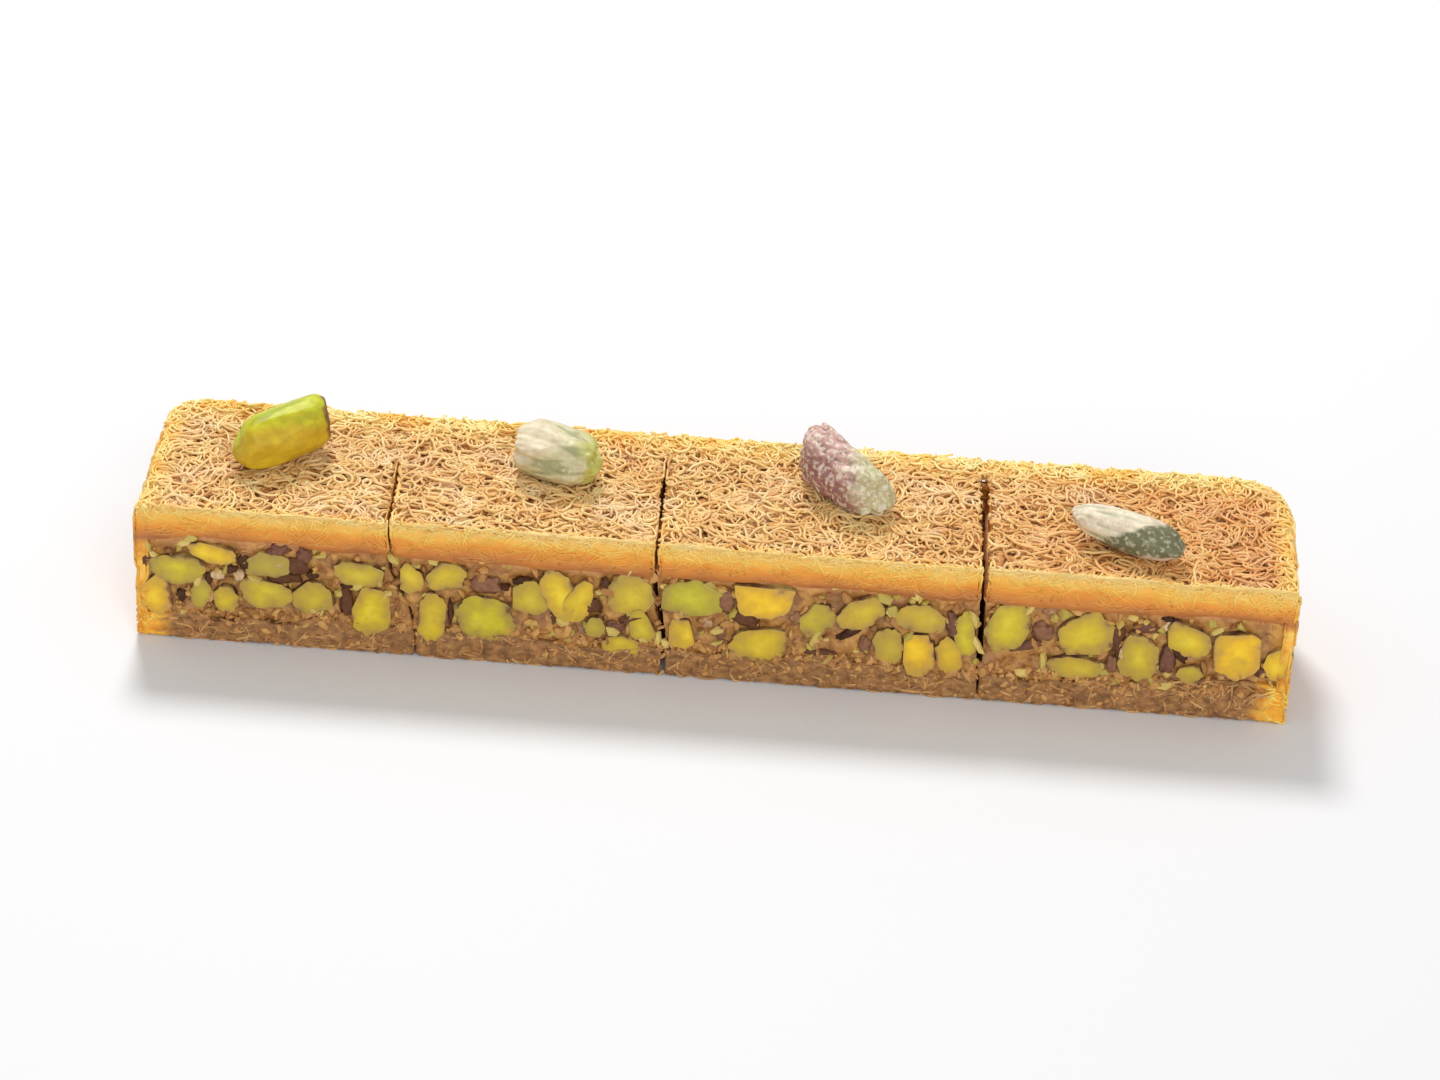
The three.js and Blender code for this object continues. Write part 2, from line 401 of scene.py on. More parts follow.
def nut_flesh_material():
    """Chopped pistachio: a thin brown rim, an olive or pale margin and a bright heart."""
    look = Shader("chopped pistachio", roughness=0.42, specular=0.45)
    wander = look.share(look.noise(2.4 * MM, detail=4.0), 0.25, 0.75)
    depth = look.mix(0.42, look.attribute("depth"), wander)
    green = look.ramp(
        depth,
        (0.1, srgb(110, 76, 40)), (0.2, srgb(160, 136, 60)), (0.34, srgb(174, 158, 50)),
        (0.56, srgb(194, 184, 34)), (0.8, srgb(214, 206, 44)),
    )
    yellow = look.ramp(
        depth,
        (0.1, srgb(130, 82, 38)), (0.2, srgb(204, 158, 72)), (0.34, srgb(220, 172, 44)),
        (0.56, srgb(242, 194, 30)), (0.8, srgb(252, 212, 48)),
    )
    fresh = look.mix(look.attribute("tone"), green, yellow)
    syrup = look.share(look.noise(3.2 * MM, detail=3.0), 0.5, 0.72)
    # Greyed by each nut's share: syrup-coated dullness, and painted shade on a nut that lies in shadow.
    dull_and_shade = look.mix(look.attribute("dull_and_shade"), look.part_of(0.4, syrup), (0.8, 0.8, 0.8, 1))
    look.color(look.mix(dull_and_shade, fresh, srgb(172, 146, 66)))
    look.bump(look.noise(0.7 * MM, detail=4.0), 0.12 * MM)
    look.glow_through(0.12, 0.6 * MM, (1.0, 0.8, 0.2))
    return look.material


def nut_skin_material():
    """The thin brown to purple skin round a chopped nut."""
    look = Shader("pistachio skin", roughness=0.5, specular=0.4)
    look.color(look.ramp(
        look.noise(2.2 * MM),
        (0.36, srgb(76, 46, 40)), (0.5, srgb(126, 92, 50)), (0.66, srgb(176, 150, 84)),
    ))
    look.bump(look.noise(0.4 * MM), 0.08 * MM)
    return look.material


def flake_material():
    """Loose skin flakes in the filling, from nearly black over purple to a pale pink."""
    look = Shader("skin flakes", roughness=0.5, specular=0.2)
    tone = look.mix(0.3, look.attribute("tone"), look.noise(0.8 * MM, detail=4.0))
    look.color(look.ramp(
        tone,
        (0.12, srgb(52, 28, 14)), (0.34, srgb(98, 60, 34)), (0.5, srgb(120, 78, 62)),
        (0.66, srgb(160, 114, 80)), (0.85, srgb(226, 194, 148)),
    ))
    look.bump(look.noise(0.4 * MM), 0.1 * MM)
    return look.material


# ---------------------------------------------------------------- layers


@dataclass
class Cut:
    """A knife cut across the strip: how far the crust draws back from it on each side, and
    the depth from which strands still tie its two slices together."""

    gape: float
    closed_from: float


CUTS = {
    1: Cut(gape=0.14 * MM, closed_from=1 * MM),
    2: Cut(gape=0.28 * MM, closed_from=8 * MM),
    3: Cut(gape=0.4 * MM, closed_from=10 * MM),
}


def cut_beside(slice_number, normal):
    """The knife cut that a side of a slice faces; at the strip's ends, the slice's only one."""
    return CUTS[min(max(slice_number if normal.x > 0 else slice_number - 1, 1), 3)]


def looks_that_way(amount):
    """1 for a face turned one way, where amount is 1, fading to 0 as it turns aside."""
    return smoothstep(0.45, 0.85, amount)


def cut_share(slice_number, normal):
    """1 where a face was cut by the knife, 0 where it was baked against the tin."""
    sideways = abs(normal.x)
    if (slice_number == 1 and normal.x < 0) or (slice_number == 4 and normal.x > 0):
        sideways = 0.0
    return looks_that_way(max(sideways, -normal.y))


# How far the browning reaches in from the tin's back and from its ends
TOP_BROWNING = (7.5 * MM, 4.5 * MM)
BASE_BROWNING = (6.5 * MM, 6.5 * MM)
FILLING_BROWNING = (4 * MM, 4 * MM)

# The underside is half browned, up to this height and from this far behind the cut front
UNDER_TONE = 0.5
UNDER_HEIGHT = 1.2 * MM
UNDER_START = 1 * MM
UNDER_FADE = 3 * MM

# Reliefs of the layers' faces: (height in millimetres, size of its lumps, seed)
CRUST_PITS = ((0.25, 1.6 * MM, 0), (0.15, 0.8 * MM, 3))
CRUST_CUT_SWELL = ((0.14, 5 * MM, 7), (0.1, 1.2 * MM, 9))
BASE_GRAINS = ((0.3, 1.5 * MM, 2), (0.2, 0.7 * MM, 5))
FILLING_LUMPS = ((0.5, 2.6 * MM, 4), (0.25, 1.1 * MM, 6))

# How far the crust's own body draws back under the strands of its top, walls and cut front
TOP_INSET = 0.85 * MM
WALL_INSET = 0.5 * MM
FRONT_CUT_INSET = 0.2 * MM
STRAND_ROOM = 0.3 * MM
BACK_SLOPE = 6 * MM

# The crust's soft front edge and its sag into the filling, and how the base and filling swell
FRONT_EDGE = 1.3 * MM
CRUST_SAG = 0.75 * MM
BASE_SWELL = 1.1 * MM
FILLING_HOLD = 0.6 * MM

# How far the base stands out at its cut sides so that two slices touch, in millimetres
SLICES_TOUCH = 0.17


def within_front_edge(y, z, margin):
    """How much nearer to the softly rounded front edge's own axis a place has to lie, as a share."""
    ahead, above = FRONT + FRONT_EDGE - y, z - (CRUST_TOP - FRONT_EDGE)
    away = math.hypot(ahead, above)
    if min(ahead, above) <= 0 or away <= FRONT_EDGE - margin:
        return 1.0
    return (FRONT_EDGE - margin) / away


def round_front_edge(place, margin):
    """Draws a place in under the soft front edge, so that a strand as thick as margin fits."""
    share = within_front_edge(place[1], place[2], margin)
    if share < 1.0:
        place[1] = FRONT + FRONT_EDGE - (FRONT + FRONT_EDGE - place[1]) * share
        place[2] = CRUST_TOP - FRONT_EDGE + (place[2] - CRUST_TOP + FRONT_EDGE) * share


def crust(number, baked, cut):
    """The solid body of one slice's top dough, set in under its mat of strands."""
    piece = remeshed(f"slice_{number}_top_dough", f"crust_{number}", baked, cut)

    def settle(place, normal):
        knife = cut_share(number, normal)
        swell = relief(place, CRUST_CUT_SWELL)
        from_back = smoothstep(0, BACK_SLOPE, BACK - place.y)
        level = smoothstep(0.3, 0.8, normal.z) * from_back
        baked_in = relief(place, CRUST_PITS) * MM - WALL_INSET * (1 - level) - TOP_INSET * level
        facing_front = looks_that_way(-normal.y)
        cut_in = swell * MM - cut_beside(number, normal).gape * (1 - facing_front)
        cut_in -= (FRONT_CUT_INSET + swell * 0.5 * MM) * facing_front
        if normal.z < -0.5:
            return Vector((0, 0, -CRUST_SAG * (1 + 0.9 * grain(place, 6 * MM, 11))))
        return normal * (baked_in * (1 - knife) + cut_in * knife)

    move_vertices(piece, settle)
    for vertex in piece.data.vertices:
        round_front_edge(vertex.co, STRAND_ROOM)
    for polygon in piece.data.polygons:
        polygon.material_index = int(cut_share(number, polygon.normal) > 0.5)
    mark_near_tin(piece, TOP_BROWNING)
    shade_smooth(piece)
    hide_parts(f"slice_{number}_top_dough")
    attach(piece, "root")
    return piece


def base(number, material):
    """One slice's base dough, grainy at the cut and browned along the tin."""
    piece = remeshed(f"slice_{number}_base_dough", f"base_{number}", material)

    def settle(place, normal):
        knife = cut_share(number, normal)
        grains = relief(place, BASE_GRAINS)
        from_top = (BASE_TOP - place.z) / MM
        depth = 0.3 + 0.3 * (1 - knife) + 0.35 * (1 - smoothstep(0, 1.6, from_top))
        facing_cut = knife * looks_that_way(abs(normal.x))
        depth -= facing_cut * (depth + SLICES_TOUCH)
        if normal.z > 0.5:
            return Vector((0, 0, BASE_SWELL)) * grain(place, 4 * MM, 8)
        if normal.z < -0.5:
            return Vector((0, 0, 1)) * max(0.0, 0.25 + grains) * MM
        return normal * (grains * (1 - 0.6 * facing_cut) - depth) * MM

    move_vertices(piece, settle)
    mark_near_tin(piece, BASE_BROWNING)
    shade_smooth(piece)
    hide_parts(f"slice_{number}_base_dough")
    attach(piece, "root")
    return piece


def filling(number, material):
    """The syrup crumb that the chopped nuts of one slice are set in."""
    piece = remeshed(f"slice_{number}_pistachio_filling", f"syrup_crumb_{number}", material)

    def settle(place, normal):
        lumps = relief(place, FILLING_LUMPS)
        from_edge = min(place.z - BASE_TOP, CRUST_FOOT - place.z) / MM
        sunk = 0.3 + 0.45 * smoothstep(0, 2.5, from_edge)
        if normal.y < -0.4:
            return Vector((0, 1, 0)) * (sunk + lumps * (0.5 + sunk / 2)) * MM
        if abs(normal.z) > 0.5 or cut_share(number, normal) < 0.5:
            return normal * FILLING_HOLD
        return -normal * max(0.0, 0.05 + 0.25 * lumps) * MM

    move_vertices(piece, settle)
    mark_near_tin(piece, FILLING_BROWNING)
    shade_smooth(piece)
    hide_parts(f"slice_{number}_pistachio_filling")
    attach(piece, "root")
    return piece


def mark_near_tin(piece, reach):
    """Tells the materials how close each vertex is to the baked sides, 1 on them, and that
    the underside is half browned."""
    vertices = np.empty(len(piece.data.vertices) * 3)
    piece.data.vertices.foreach_get("co", vertices)
    x, y, z = vertices.reshape(-1, 3).T
    from_back, from_ends = reach
    near_tin = 1 - np.minimum((BACK - y) / from_back, np.minimum(x - LEFT, RIGHT - x) / from_ends)
    behind_front = np.clip((y - FRONT - UNDER_START) / UNDER_FADE, 0, 1)
    under = np.clip(1 - z / UNDER_HEIGHT, 0, 1) * behind_front
    near_tin = np.clip(np.maximum(near_tin, UNDER_TONE * under), 0, 1)
    piece.data.attributes.new("near_tin", "FLOAT", "POINT").data.foreach_set("value", near_tin)


# ---------------------------------------------------------------- strands


STRAND_RADIUS = 0.23 * MM
STRAND_SIDES = 4

# How far a strand waves up and down and how far its ends dive into the mat, in millimetres
WAVE = 0.16
DIVE = 0.45

# How much of its turn a strand keeps at each step
KEPT_TURN = 0.85

# How much the strands of one piece differ in tone
TONE_SPREAD = 0.22

# Steps that a strand of the top runs on over a closed cut, and how far back that happens
OVER_CUT = (2, 3, 4)
OVER_CUT_TO = BACK - 3 * MM

# Where a strand that ties two slices starts and ends, in millimetres out from the cut side,
# and its room below the crust's top and inside its back
TORN_REACH = (-0.9, 1.5)
TORN_TOP = CRUST_TOP - 0.5 * MM
TORN_BACK = BACK - 0.8 * MM

# How near a face's middle lies to the outer face that it counts to
FACE_DEPTH = 1 * MM
TIN_DEPTH = 1.5 * MM
CORNER_DEPTH = 3 * MM


class Skin:
    """The outer face of one slice, which strands follow."""

    def __init__(self, number):
        self.number = number
        mesh = cad_copy(f"slice_{number}_top_dough", f"slice_{number}_base_dough")
        bmesh.ops.triangulate(mesh, faces=mesh.faces)
        mesh.normal_update()
        self.tree = BVHTree.FromBMesh(mesh)
        kinds = {"top": self.is_top, "wall": self.is_wall, "foot": self.is_foot, "side": self.is_side,
                 "crust front": self.is_crust_front, "base front": self.is_base_front}
        self.faces = {}
        for kind, belongs in kinds.items():
            chosen = [face for face in mesh.faces if belongs(face, face.calc_center_median())]
            areas = [face.calc_area() for face in chosen]
            self.faces[kind] = (areas, [[v.co.copy() for v in face.verts] for face in chosen])
        mesh.free()

    def is_top(self, face, center):
        return face.normal.z > 0.6 and center.z > CRUST_TOP - CORNER_DEPTH

    def is_foot(self, face, center):
        return face.normal.z < -0.9 and center.z < FACE_DEPTH

    def is_side(self, face, center):
        inner = LEFT + CORNER_DEPTH < center.x < RIGHT - CORNER_DEPTH
        return inner and abs(face.normal.x) > 0.8 and cut_share(self.number, face.normal) > 0.5

    def is_front(self, face, center):
        return face.normal.y < -0.9 and center.y < FRONT + FACE_DEPTH

    def is_crust_front(self, face, center):
        return self.is_front(face, center) and center.z > BASE_TOP

    def is_base_front(self, face, center):
        return self.is_front(face, center) and center.z < BASE_TOP

    def is_wall(self, face, center):
        outward = face.normal.y > 0.5 or (self.number == 1 and face.normal.x < -0.5)
        outward = outward or (self.number == 4 and face.normal.x > 0.5)
        inner = center.y < BACK - TIN_DEPTH and LEFT + TIN_DEPTH < center.x < RIGHT - TIN_DEPTH
        return outward and abs(face.normal.z) < 0.6 and not inner

    def spots(self, kind, density, rng, wanted=lambda spot: True):
        """Random places on one kind of face, so many to each square millimetre."""
        areas, corners = self.faces[kind]
        found = []
        for a, b, c in rng.choices(corners, areas, k=int(sum(areas) / MM / MM * density)):
            u, v = rng.random(), rng.random()
            if u + v > 1:
                u, v = 1 - u, 1 - v
            spot = a + (b - a) * u + (c - a) * v
            if wanted(spot):
                found.append(spot)
        return found

    def is_cut(self, normal):
        return cut_share(self.number, normal) > 0.5

    def closed_from(self, normal):
        return cut_beside(self.number, normal).closed_from

    def torn_places(self, rng):
        """Places and outward directions on the knife-cut sides, where they are still closed."""
        found = []
        for spot in self.spots("side", 1.1, rng):
            _, normal, _, _ = self.tree.find_nearest(spot)
            if spot.y > self.closed_from(normal):
                found.append((spot, normal))
        return found


@dataclass
class Style:
    """How one kind of strand lies. Its length and overhang are in steps; its step, its depth
    and its rise are in millimetres."""

    steps: tuple
    curl: float
    depth: tuple
    step: float = 0.8
    spread: tuple = (1, 1, 1)
    overhang: tuple = (0,)
    thickness: float = 1.0
    rise: float = 0.0
    tone: float = 0.55


def walk(skin, start, style, rng):
    """Places and normals of a strand that curls along the skin until a knife cut stops it."""
    heading = Vector(rng.gauss(0, 1) * part for part in style.spread)
    spot, normal, _, _ = skin.tree.find_nearest(start)
    home = skin.is_cut(normal)
    way = (heading - normal * heading.dot(normal)).normalized()
    turn = rng.gauss(0, style.curl)
    places, normals, stopped = [spot], [normal], False
    over_front = rng.choice(style.overhang)
    over_cut = rng.choice(OVER_CUT)
    step = style.step * MM
    for _ in range(rng.randint(*style.steps)):
        turn = KEPT_TURN * turn + rng.gauss(0, style.curl * 0.5)
        way = Matrix.Rotation(turn, 3, normal) @ way
        ahead, facing, _, _ = skin.tree.find_nearest(spot + way * step)
        if skin.is_cut(facing) != home:
            stopped = True
            if facing.y < -0.6 and over_front:
                over_front -= 1
            elif facing.y > -0.6 and over_cut and skin.closed_from(facing) < spot.y < OVER_CUT_TO:
                over_cut -= 1
                ahead, facing = spot + way * step, normal
            else:
                break
        moved = ahead - spot
        if moved.length < 0.2 * step:
            break
        normal = normal.lerp(facing, 0.5).normalized()
        way = (moved - normal * moved.dot(normal)).normalized()
        spot = ahead
        places.append(spot)
        normals.append(normal)
    return np.array(places), np.array(normals), stopped


def strand(skin, start, style, rng):
    """The line of one strand and its radius at each place, or None where it is too short."""
    places, normals, stopped = walk(skin, start, style, rng)
    count = len(places)
    if count < 3:
        return None
    share = np.linspace(0, 1, count)
    dive = (2 * share - 1) ** 4
    if stopped or style.rise:
        dive[share > 0.5] = 0.0
    waves = rng.uniform(0, 2 * math.pi) + share * count * rng.uniform(0.35, 0.6)
    wander = WAVE * np.sin(waves) - DIVE * dive + rng.random() * style.rise * share ** 2
    lift = (wander - rng.uniform(*style.depth)) * MM
    radii = STRAND_RADIUS * style.thickness * rng.uniform(0.8, 1.15) * (1 - 0.4 * dive)
    margin = radii[:, None] * 1.02
    line = places + normals * lift[:, None]
    line = np.clip(line, np.array((LEFT, FRONT, 0)) + margin, np.array((RIGHT, BACK, SUMMIT)) - margin)
    for place, radius in zip(line, radii):
        round_front_edge(place, radius)
    return line, radii


def torn_strand(start, outward, rng):
    """A strand that still ties two slices together where the knife didn't part them."""
    way = (outward + Vector(rng.gauss(0, 0.4) for _ in range(3))).normalized()
    sag = Vector((0, 0, -rng.uniform(0, 0.3) * MM))
    reach = np.linspace(*TORN_REACH, 5) * MM
    line = np.array([start + way * step + sag * (1 - (step / MM) ** 2) for step in reach])
    radius = STRAND_RADIUS * rng.uniform(0.6, 0.9)
    line[:, 2] = np.clip(line[:, 2], radius, TORN_TOP)
    line[:, 1] = np.minimum(line[:, 1], TORN_BACK)
    return line, np.full(len(line), radius)


def strands(name, lines, tone, rng, material):
    """One piece of many strands, swept along their lines as round tubes."""
    curve = bpy.data.curves.new(name, "CURVE")
    curve.dimensions = "3D"
    curve.bevel_depth = 1.0
    curve.bevel_resolution = 0
    tones = []
    for line, radii in filter(None, lines):
        spline = curve.splines.new("POLY")
        spline.points.add(len(line) - 1)
        spline.points.foreach_set("co", np.column_stack([line / MM, np.ones(len(line))]).ravel())
        spline.points.foreach_set("radius", radii / MM)
        tones.extend([min(max(rng.gauss(tone, TONE_SPREAD), 0), 1)] * len(line) * STRAND_SIDES)
    swept = bpy.data.objects.new(name, curve)
    tubes = bpy.data.meshes.new_from_object(swept)
    bpy.data.objects.remove(swept)
    mesh = bmesh.new()
    mesh.from_mesh(tubes)
    bmesh.ops.scale(mesh, vec=(MM, MM, MM), verts=mesh.verts)
    ends = [edge for edge in mesh.edges if edge.is_boundary]
    bmesh.ops.holes_fill(mesh, edges=ends, sides=STRAND_SIDES)
    piece = new_piece(name, mesh, material)
    piece.data.attributes.new("tone", "FLOAT", "POINT").data.foreach_set("value", tones)
    mark_near_tin(piece, TOP_BROWNING)
    shade_smooth(piece)
    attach(piece, "root")
    return piece


TOP_MAT = Style(steps=(7, 13), curl=0.5, depth=(0.2, 1.2), step=0.65, overhang=(0, 1, 2, 3))
FRONT_RIM = Style(steps=(3, 8), curl=0.5, depth=(0.2, 0.5), step=0.6, overhang=(1, 2, 3), thickness=0.85)
# The back fringe takes the palest tones: partly the strands' own colour and partly a painted highlight
# of the key light from behind on the back edge.
BACK_FRINGE = Style(
    steps=(5, 10), curl=0.6, depth=(0.1, 0.5), step=0.6, thickness=0.85, rise=0.5, tone=0.95)
TIN_SIDE = Style(
    steps=(7, 14), curl=0.35, depth=(0.28, 0.7), step=0.9, spread=(1, 1, 0.5), thickness=0.85, tone=0.5)
UNDERSIDE = Style(steps=(5, 9), curl=0.35, depth=(0.3, 0.6), step=1.4)
CUT_CRUST = Style(steps=(3, 8), curl=0.25, depth=(0.24, 0.42), spread=(1, 1, 0.3), thickness=0.8)
CUT_BASE = Style(
    steps=(2, 5), curl=0.25, depth=(0.3, 0.6), spread=(1, 1, 0.6), thickness=0.75, tone=0.5)


def at_front_rim(spot):
    return spot.y < FRONT + 1.2 * MM


def at_back_edge(spot):
    return spot.y > BACK - 3.5 * MM


def dress_slice(number, looks):
    """The strands of one slice: its top mat and rims, its tin sides, its cut front, its foot."""
    rng = random.Random(100 + number)
    skin = Skin(number)
    top = skin.spots("top", 1.25, rng)
    rim = skin.spots("top", 1.0, rng, at_front_rim)
    fringe = skin.spots("top", 1.6, rng, at_back_edge)
    for name, starts, style, look, slot in (
        ("top_strands", top, TOP_MAT, "strands", "top_dough"),
        ("rim_strands", rim, FRONT_RIM, "strands", "top_dough"),
        ("fringe_strands", fringe, BACK_FRINGE, "strands", "top_dough"),
        ("side_strands", skin.spots("wall", 0.42, rng), TIN_SIDE, "strands", "top_dough"),
        ("cut_strands", skin.spots("crust front", 2.7, rng), CUT_CRUST, "cut crust", "top_dough"),
        ("base_strands", skin.spots("base front", 1.2, rng), CUT_BASE, "base", "base_dough"),
        ("foot_strands", skin.spots("foot", 0.15, rng), UNDERSIDE, "base", "base_dough"),
    ):
        lines = [strand(skin, start, style, rng) for start in starts]
        strands(f"{name}_{number}", lines, style.tone, rng, looks[look])
    torn = [torn_strand(*place, rng) for place in skin.torn_places(rng)]
    strands(f"torn_strands_{number}", torn, 0.5, rng, looks["strands"])


# ---------------------------------------------------------------- nuts at the cut


def lump_height(place, seed, *layers):
    """How far a rough bit stands out at a place, from layers of (height, fineness)."""
    return sum(height * noise.noise(place * fineness + seed) for height, fineness in layers)


@dataclass
class Nut:
    """A nut that the knife cut through, in millimetres at the front face. Its turn is
    anticlockwise, yellow and dull_and_shade are shares, and flats are (direction, reach) of chopped
    sides.
    The greying share stands for syrup-coated dullness and, on a nut that lies in shadow, for painted
    shade."""

    x: float
    z: float
    width: float
    height: float
    turn: float
    yellow: float
    dull_and_shade: float
    flats: tuple = ()


NUTS = [
    Nut(-79.6, 7.3, 5.4, 6.8, 8, 0.95, 0.1, ((120, 0.7), (0, 0.85))),
    Nut(-76.4, 12.0, 8.2, 4.8, 2, 0.25, 0.15),
    Nut(-73.0, 8.0, 3.0, 4.6, -10, 0.2, 0.7),
    Nut(-71.2, 15.1, 7.4, 3.3, -14, 0.8, 0.1, ((90, 0.75),)),
    Nut(-69.3, 7.4, 3.6, 4.4, 20, 0.5, 0.3),
    Nut(-63.3, 13.7, 6.4, 4.0, 5, 0.1, 0.8),
    Nut(-63.9, 8.9, 7.6, 4.9, -14, 0.35, 0.15, ((100, 0.8),)),
    Nut(-57.0, 8.8, 6.6, 5.4, 6, 0.4, 0.45, ((0, 0.85), (135, 0.8))),
    Nut(-50.3, 13.4, 7.8, 4.7, -10, 0.4, 0.4, ((95, 0.75), (0, 0.9))),
    Nut(-48.4, 7.4, 6.2, 8.6, -10, 0.45, 0.0, ((165, 0.85), (20, 0.8), (90, 0.85))),
    Nut(-43.0, 13.2, 3.8, 4.8, 0, 0.6, 0.3, ((180, 0.7),)),
    Nut(-37.7, 13.9, 5.8, 4.9, 10, 0.5, 0.3, ((270, 0.8),)),
    Nut(-39.8, 6.9, 4.4, 8.2, -4, 0.5, 0.15, ((0, 0.85), (180, 0.85))),
    Nut(-32.1, 7.3, 9.6, 7.4, -6, 0.15, 0.0, ((200, 0.85),)),
    Nut(-25.7, 11.5, 6.2, 5.4, -20, 0.4, 0.4, ((200, 0.85), (60, 0.85))),
    Nut(-21.8, 12.6, 5.0, 8.4, 18, 0.65, 0.05, ((190, 0.9),)),
    Nut(-18.9, 11.6, 4.0, 7.2, -16, 0.65, 0.1, ((10, 0.85),)),
    Nut(-16.3, 7.5, 2.8, 3.6, 0, 0.2, 0.8),
    Nut(-11.8, 13.2, 6.6, 7.2, 0, 0.45, 0.35, ((270, 0.8), (180, 0.9))),
    Nut(-9.8, 8.2, 4.0, 5.4, 24, 0.4, 0.3, ((0, 0.7),)),
    Nut(-12.7, 4.6, 5.8, 3.4, 0, 0.6, 0.3, ((270, 0.7),)),
    Nut(-3.0, 13.6, 9.0, 6.2, -2, 0.0, 0.25, ((180, 0.9),)),
    Nut(-4.3, 7.5, 4.2, 5.4, 0, 0.75, 0.0, ((180, 0.75), (20, 0.8), (90, 0.85))),
    Nut(7.3, 16.2, 9.0, 10.2, -3, 0.95, 0.0, ((90, 0.05),)),
    Nut(7.3, 6.7, 9.0, 6.0, 8, 0.55, 0.15, ((0, 0.8), (90, 0.85))),
    Nut(15.0, 11.5, 4.6, 6.6, -20, 0.25, 0.35, ((100, 0.85),)),
    Nut(21.2, 13.3, 7.8, 4.8, 32, 0.6, 0.4, ((0, 0.85),)),
    Nut(29.5, 13.3, 7.0, 4.8, -8, 0.6, 0.55),
    Nut(25.4, 8.2, 4.2, 6.0, 0, 0.5, 0.6),
    Nut(29.7, 7.1, 5.2, 7.4, 0, 0.9, 0.0, ((180, 0.85), (10, 0.85), (90, 0.9))),
    Nut(33.9, 7.1, 4.2, 6.2, 12, 0.8, 0.3, ((180, 0.8),)),
    Nut(36.2, 11.3, 3.8, 7.0, 8, 0.25, 0.1, ((0, 0.6),)),
    Nut(41.8, 12.9, 6.4, 8.2, -24, 0.3, 0.1, ((180, 0.85),)),
    Nut(53.3, 12.4, 8.0, 7.8, 25, 0.45, 0.15, ((250, 0.8),)),
    Nut(51.9, 7.0, 7.4, 3.6, 0, 0.55, 0.5),
    Nut(60.6, 9.4, 5.8, 7.8, 6, 0.4, 0.2),
    Nut(67.2, 13.2, 7.0, 6.0, -22, 0.55, 0.1, ((90, 0.75), (205, 0.75))),
    Nut(68.2, 7.4, 3.6, 3.0, 0, 0.4, 0.7),
    Nut(74.4, 11.2, 7.6, 8.2, 6, 1.0, 0.0, ((90, 0.85), (0, 0.85), (180, 0.85))),
    Nut(80.5, 10.1, 4.4, 5.4, -8, 0.9, 0.15, ((0, 0.75),)),
]


# Shortest edge left on a cut nut's rim, as a share of the nut's size
SHORTEST_RIM_EDGE = 0.04


def chopped_nut(nut, rng):
    """A rough nut that the knife cut flat at the front, with a ring of skin round the cut."""
    mesh = bmesh.new()
    bmesh.ops.create_icosphere(mesh, subdivisions=4, radius=1.0)
    seed = Vector((rng.uniform(0, 50), 0, 0))
    for vertex in mesh.verts:
        vertex.co *= 1 + lump_height(vertex.co, seed, (0.2, 1.2), (0.14, 2.8), (0.07, 7))
    for direction, reach in nut.flats:
        angle = math.radians(direction)
        way = Vector((math.cos(angle), rng.uniform(-0.3, 0.3), math.sin(angle))).normalized()
        cap(mesh, way * reach, way)
    half = Vector((nut.width / 2, rng.uniform(2.2, 3.6), nut.height / 2)) * MM
    scale = Matrix.Diagonal((*half, 1))
    spin = Matrix.Rotation(math.radians(-nut.turn), 4, "Y")
    middle = Vector((nut.x * MM, FRONT + rng.uniform(0.06, 0.3) * MM, nut.z * MM))
    bmesh.ops.transform(mesh, matrix=Matrix.Translation(middle) @ spin @ scale, verts=mesh.verts)
    size = min(nut.width, nut.height) * MM
    outward = Vector((rng.gauss(0, 0.03), -1, rng.gauss(0, 0.03))).normalized()
    face = cap(mesh, middle, outward, SHORTEST_RIM_EDGE * size)
    off_center = Vector((rng.gauss(0, 0.1) * nut.width, 0, rng.gauss(0, 0.1) * nut.height)) * MM
    mark_heart(mesh, face, off_center)
    for vertex in mesh.verts:
        vertex.co.x = min(max(vertex.co.x, LEFT + 0.1 * MM), RIGHT - 0.1 * MM)
        vertex.co.y = max(vertex.co.y, FRONT + 0.02 * MM)
    return mesh


def cap(mesh, place, outward, shortest=0.0):
    """Cuts a mesh off at a plane and closes it with one flat face, which it returns."""
    everything = mesh.verts[:] + mesh.edges[:] + mesh.faces[:]
    cut = bmesh.ops.bisect_plane(
        mesh, geom=everything, plane_co=place, plane_no=outward, clear_outer=True, dist=1e-7)
    corners = [item for item in cut["geom_cut"] if isinstance(item, bmesh.types.BMVert)]
    if not corners:
        return None
    bmesh.ops.remove_doubles(mesh, verts=corners, dist=shortest)
    rim = [edge for edge in mesh.edges if edge.is_boundary]
    made = bmesh.ops.edgeloop_fill(mesh, edges=rim)["faces"]
    bmesh.ops.recalc_face_normals(mesh, faces=mesh.faces)
    return made[0] if made else None


def mark_heart(mesh, face, off_center):
    """Fans a cut face out from a heart, with its depth from 0 at the rim for the material."""
    depth = mesh.verts.layers.float.new("depth")
    for each in mesh.faces:
        each.smooth = True
        each.material_index = 1
    if face is None:
        return
    face.smooth = False
    face.material_index = 0
    for vertex in bmesh.ops.poke(mesh, faces=[face])["verts"]:
        vertex.co += off_center
        vertex[depth] = 1.0


